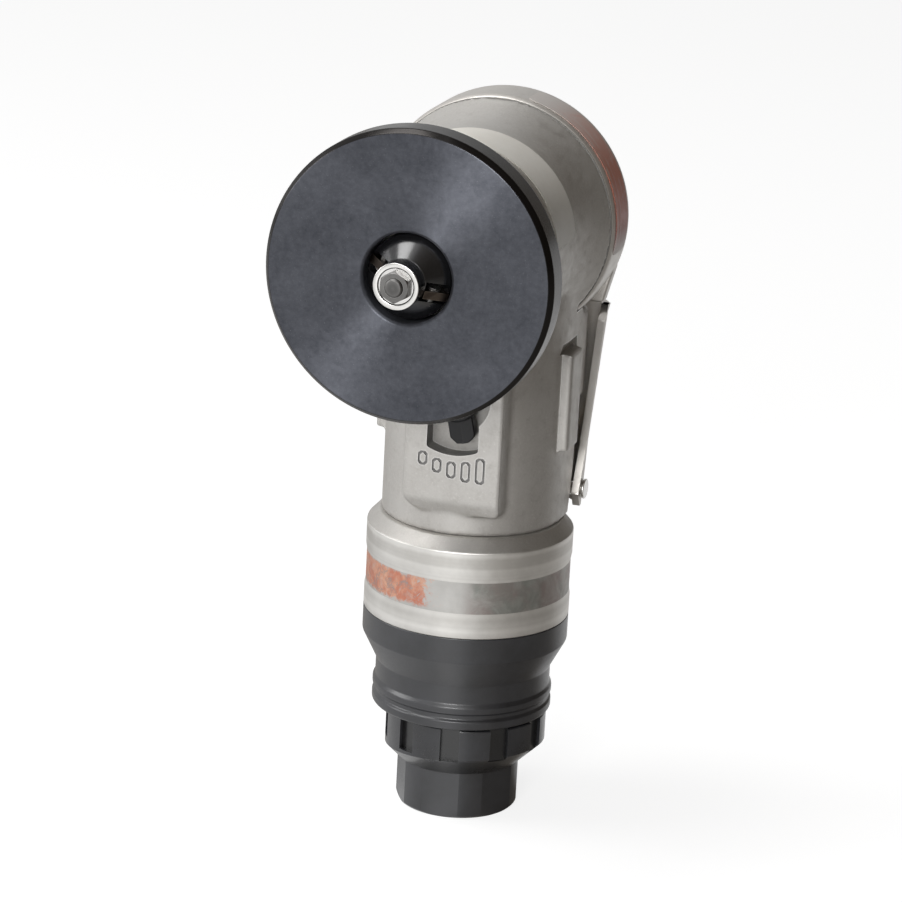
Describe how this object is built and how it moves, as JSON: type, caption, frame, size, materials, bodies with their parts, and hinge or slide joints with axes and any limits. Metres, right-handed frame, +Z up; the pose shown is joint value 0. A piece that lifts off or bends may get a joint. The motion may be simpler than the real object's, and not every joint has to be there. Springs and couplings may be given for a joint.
{
  "type": "pneumatic chamfering machine",
  "caption": "Hand-held air-driven bevelling tool: angled head with a coned insert cutter and pilot bearing behind an adjustable guide plate, lever throttle and swivel exhaust.",
  "frame": {"origin": "on the axis of the threaded air inlet, in the plane of its mouth at the foot of the handle", "axes": "+Z up the handle from the inlet to the head, -Y out of the head along the spindle towards the work, +X to the right seen from the guide plate's side"},
  "size_m": [0.0568, 0.0846, 0.152],
  "materials": {
    "cast_housing": "fine-grained cast aluminium, satin",
    "turned_aluminium": "bright turned aluminium",
    "smooth_aluminium": "smooth satin aluminium",
    "slate_steel": "blackened steel, mottled satin",
    "black_metal": "black anodised, semi-gloss",
    "gloss_black_steel": "black oxide, glossy",
    "bright_steel": "bright steel",
    "bearing_steel": "polished bearing steel",
    "dark_steel": "dark oiled steel",
    "carbide": "bronze-coated carbide",
    "brass_parts": "machined brass",
    "seal_rubber": "matt black rubber",
    "vane_composite": "brown fibre composite",
    "cylinder_iron": "honed cast iron",
    "felt": "pressed felt",
    "label_cream": "blank cream label film",
    "label_red": "blank red-orange label film",
    "gasket_paper": "gasket paper"
  },
  "bodies": {
    "motor_body": {"housing": "cast_housing", "rear_cover": "smooth_aluminium", "cover_gasket": "gasket_paper", "cover_screws": "dark_steel", "nose_label": "label_cream", "rim_label": "label_red", "front_end_plate": "cylinder_iron", "rear_end_plate": "cylinder_iron", "motor_cylinder": "cylinder_iron", "locating_pin": "bright_steel", "shaft_seal": "seal_rubber", "wave_washer": "bright_steel", "front_bearing_outer": "bearing_steel", "rear_bearing_outer": "bearing_steel", "plate_key": "bright_steel", "lever_pin": "bright_steel", "valve_bushing": "brass_parts", "valve_spring": "bright_steel", "handle_collar": "turned_aluminium", "exhaust_housing": "black_metal", "silencer_felt": "felt", "deflector_oring": "seal_rubber", "inlet_bushing": "black_metal", "inlet_strainer": "brass_parts", "inlet_oring": "seal_rubber"},
    "spindle_set": {"rotor": "bright_steel", "rotor_vanes": "vane_composite", "spindle": "bright_steel", "front_bearing_inner": "bearing_steel", "front_bearing_balls": "bearing_steel", "rear_bearing_inner": "bearing_steel", "rear_bearing_balls": "bearing_steel", "cutter_body": "gloss_black_steel", "cutter_inserts": "carbide", "insert_screws": "dark_steel", "pilot_inner_ring": "bearing_steel", "pilot_shield": "bearing_steel", "pilot_balls": "bearing_steel", "pilot_nut": "dark_steel", "pilot_stud": "bright_steel"},
    "pilot_roller": {"pilot_ring": "bearing_steel"},
    "plate_slide": {"guide_plate": "slate_steel"},
    "ring_set": {"adjusting_ring": "black_metal", "ring_lock_screw": "dark_steel"},
    "regulator": {"regulator_lever": "gloss_black_steel", "regulator_stem": "brass_parts", "regulator_oring": "seal_rubber", "regulator_screw": "dark_steel"},
    "throttle": {"throttle_lever": "bright_steel"},
    "valve": {"valve_plunger": "brass_parts", "valve_oring": "seal_rubber"},
    "deflector": {"exhaust_deflector": "black_metal"}
  },
  "joints": [
    {"name": "spindle_spin", "type": "hinge", "parent": "motor_body", "child": "spindle_set", "pos_m": [0, 0, 0.1236], "axis": [0, 1, 0], "continuous": true},
    {"name": "pilot_spin", "type": "hinge", "parent": "spindle_set", "child": "pilot_roller", "pos_m": [0, -0.056, 0.1236], "axis": [0, 1, 0], "continuous": true},
    {"name": "ring_turn", "type": "hinge", "parent": "motor_body", "child": "ring_set", "pos_m": [0, -0.029, 0.1236], "axis": [0, 1, 0], "range_deg": [0, 360]},
    {"name": "plate_depth", "type": "slide", "parent": "motor_body", "child": "plate_slide", "axis": [0, 1, 0], "range_m": [0, 0.002]},
    {"name": "regulator_turn", "type": "hinge", "parent": "motor_body", "child": "regulator", "pos_m": [0.001, -0.016, 0.0924], "axis": [0, 1, 0], "range_deg": [0, 25]},
    {"name": "throttle_press", "type": "hinge", "parent": "motor_body", "child": "throttle", "pos_m": [0, 0.0122, 0.0672], "axis": [1, 0, 0], "range_deg": [0, 7], "stiffness_Nm_per_rad": 0.6, "springref_deg": -5.73},
    {"name": "valve_push", "type": "slide", "parent": "motor_body", "child": "valve", "axis": [0, -1, 0], "range_m": [0, 0.0014]},
    {"name": "deflector_turn", "type": "hinge", "parent": "motor_body", "child": "deflector", "pos_m": [0, 0, 0.015], "axis": [0, 0, 1], "continuous": true}
  ],
  "couplings": [
    {"joint": "ring_turn", "follows": "plate_depth", "rad_per_m": 3141.6},
    {"joint": "valve_push", "follows": "throttle_press", "m_per_rad": 0.0108}
  ]
}
